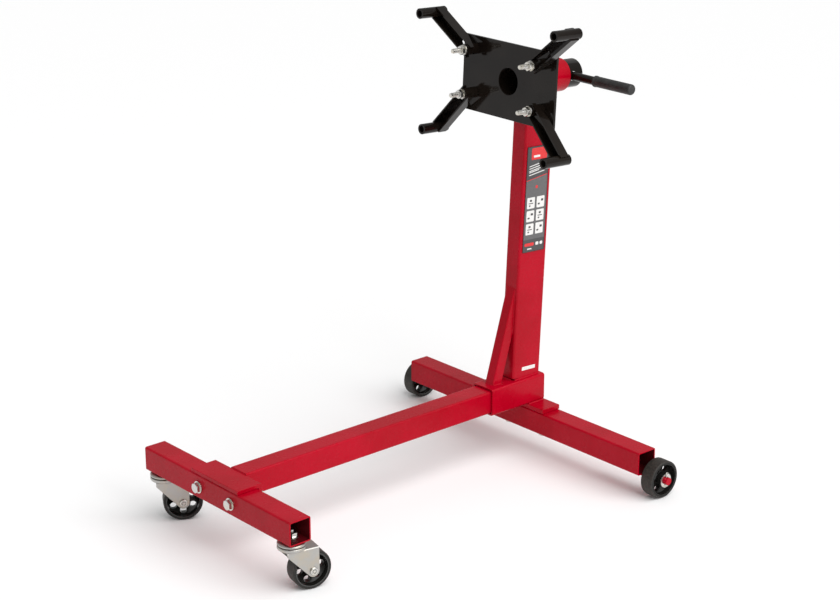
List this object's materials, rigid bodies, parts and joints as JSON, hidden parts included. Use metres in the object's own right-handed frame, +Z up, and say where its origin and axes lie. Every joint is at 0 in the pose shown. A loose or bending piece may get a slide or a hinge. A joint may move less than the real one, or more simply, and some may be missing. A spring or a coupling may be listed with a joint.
{
  "type": "engine stand",
  "caption": "Engine stand: T-shaped base on wheels, leaning braced mast, and a turning head with a flat plate and swinging arms that bolt to an engine block.",
  "frame": {"origin": "on the floor, under the middle of the whole stand's outer box", "axes": "+Z up, -Y towards the front, the side the engine hangs on, X along the crossbars with +X on the handle's side"},
  "size_m": [0.8004, 0.9624, 0.9671],
  "materials": {
    "red_paint": "glossy red powder coat",
    "black_paint": "glossy black enamel",
    "zinc_plate": "zinc plated, slightly yellow",
    "wheel_plastic": "satin black moulded plastic",
    "grip_rubber": "matt black rubber grip",
    "label_film": "printed grey vinyl film"
  },
  "bodies": {
    "root": {"rear_crossbar": "red_paint", "front_crossbar": "red_paint", "main_leg": "red_paint", "leg_sleeve": "red_paint", "saddle_plate": "red_paint", "leg_bracket": "red_paint", "leg_bolt_left": "zinc_plate", "leg_nut_left": "zinc_plate", "saddle_bolt_left": "zinc_plate", "leg_bolt_right": "zinc_plate", "leg_nut_right": "zinc_plate", "saddle_bolt_right": "zinc_plate", "leg_lock_bolt": "zinc_plate", "leg_lock_nut": "zinc_plate", "rear_axle_left": "red_paint", "rear_washer_left": "zinc_plate", "rear_split_pin_left": "zinc_plate", "rear_axle_right": "red_paint", "rear_washer_right": "zinc_plate", "rear_split_pin_right": "zinc_plate", "caster_race_left": "zinc_plate", "caster_stem_left": "zinc_plate", "caster_nut_left": "zinc_plate", "caster_race_right": "zinc_plate", "caster_stem_right": "zinc_plate", "caster_nut_right": "zinc_plate", "mast": "red_paint", "mast_brace": "red_paint", "head_housing": "red_paint", "mast_label": "label_film"},
    "head": {"mounting_plate": "black_paint", "head_tube": "black_paint", "arm_bolt_upper_left": "zinc_plate", "arm_nut_upper_left": "zinc_plate", "arm_bolt_lower_left": "zinc_plate", "arm_nut_lower_left": "zinc_plate", "arm_bolt_upper_right": "zinc_plate", "arm_nut_upper_right": "zinc_plate", "arm_bolt_lower_right": "zinc_plate", "arm_nut_lower_right": "zinc_plate"},
    "handle": {"handle_bar": "black_paint", "handle_grip": "grip_rubber", "handle_stop": "black_paint"},
    "lock_pin": {"lock_pin": "zinc_plate"},
    "arm_upper_left": {"arm_upper_left": "black_paint", "finger_upper_left": "black_paint"},
    "arm_lower_left": {"arm_lower_left": "black_paint", "finger_lower_left": "black_paint"},
    "arm_upper_right": {"arm_upper_right": "black_paint", "finger_upper_right": "black_paint"},
    "arm_lower_right": {"arm_lower_right": "black_paint", "finger_lower_right": "black_paint"},
    "caster_left": {"caster_fork_left": "zinc_plate", "caster_axle_left": "zinc_plate"},
    "caster_wheel_left": {"caster_wheel_left": "wheel_plastic"},
    "rear_wheel_left": {"rear_wheel_left": "wheel_plastic"},
    "caster_right": {"caster_fork_right": "zinc_plate", "caster_axle_right": "zinc_plate"},
    "caster_wheel_right": {"caster_wheel_right": "wheel_plastic"},
    "rear_wheel_right": {"rear_wheel_right": "wheel_plastic"}
  },
  "joints": [
    {"name": "head_turn", "type": "hinge", "parent": "root", "child": "head", "pos_m": [0, 0.37236, 0.82042], "axis": [0, -0.9988, 0.0488], "continuous": true},
    {"name": "arm_upper_left_swing", "type": "hinge", "parent": "head", "child": "arm_upper_left", "pos_m": [-0.099, 0.29002, 0.87701], "axis": [0, -0.9988, 0.0488], "range_deg": [-40, 40]},
    {"name": "arm_lower_left_swing", "type": "hinge", "parent": "head", "child": "arm_lower_left", "pos_m": [-0.099, 0.28553, 0.78512], "axis": [0, -0.9988, 0.0488], "range_deg": [-40, 40]},
    {"name": "arm_upper_right_swing", "type": "hinge", "parent": "head", "child": "arm_upper_right", "pos_m": [0.099, 0.29002, 0.87701], "axis": [0, -0.9988, 0.0488], "range_deg": [-30, 50]},
    {"name": "arm_lower_right_swing", "type": "hinge", "parent": "head", "child": "arm_lower_right", "pos_m": [0.099, 0.28553, 0.78512], "axis": [0, -0.9988, 0.0488], "range_deg": [-50, 30]},
    {"name": "handle_slide", "type": "slide", "parent": "head", "child": "handle", "axis": [1, 0, 0], "range_m": [-0.06, 0.03]},
    {"name": "lock_pin_push", "type": "slide", "parent": "root", "child": "lock_pin", "axis": [1, 0, 0], "range_m": [0, 0.01]},
    {"name": "caster_left_swivel", "type": "hinge", "parent": "root", "child": "caster_left", "pos_m": [-0.208, -0.44589, 0.09], "axis": [0, 0, 1], "continuous": true},
    {"name": "caster_left_roll", "type": "hinge", "parent": "caster_left", "child": "caster_wheel_left", "pos_m": [-0.1905, -0.41558, 0.04], "axis": [0.866, -0.5, 0], "continuous": true},
    {"name": "caster_right_swivel", "type": "hinge", "parent": "root", "child": "caster_right", "pos_m": [0.208, -0.44589, 0.09], "axis": [0, 0, 1], "continuous": true},
    {"name": "caster_right_roll", "type": "hinge", "parent": "caster_right", "child": "caster_wheel_right", "pos_m": [0.21528, -0.41166, 0.04], "axis": [0.9781, -0.2079, 0], "continuous": true},
    {"name": "rear_left_roll", "type": "hinge", "parent": "root", "child": "rear_wheel_left", "pos_m": [-0.373, 0.3841, 0.04], "axis": [1, 0, 0], "continuous": true},
    {"name": "rear_right_roll", "type": "hinge", "parent": "root", "child": "rear_wheel_right", "pos_m": [0.373, 0.3841, 0.04], "axis": [1, 0, 0], "continuous": true}
  ]
}
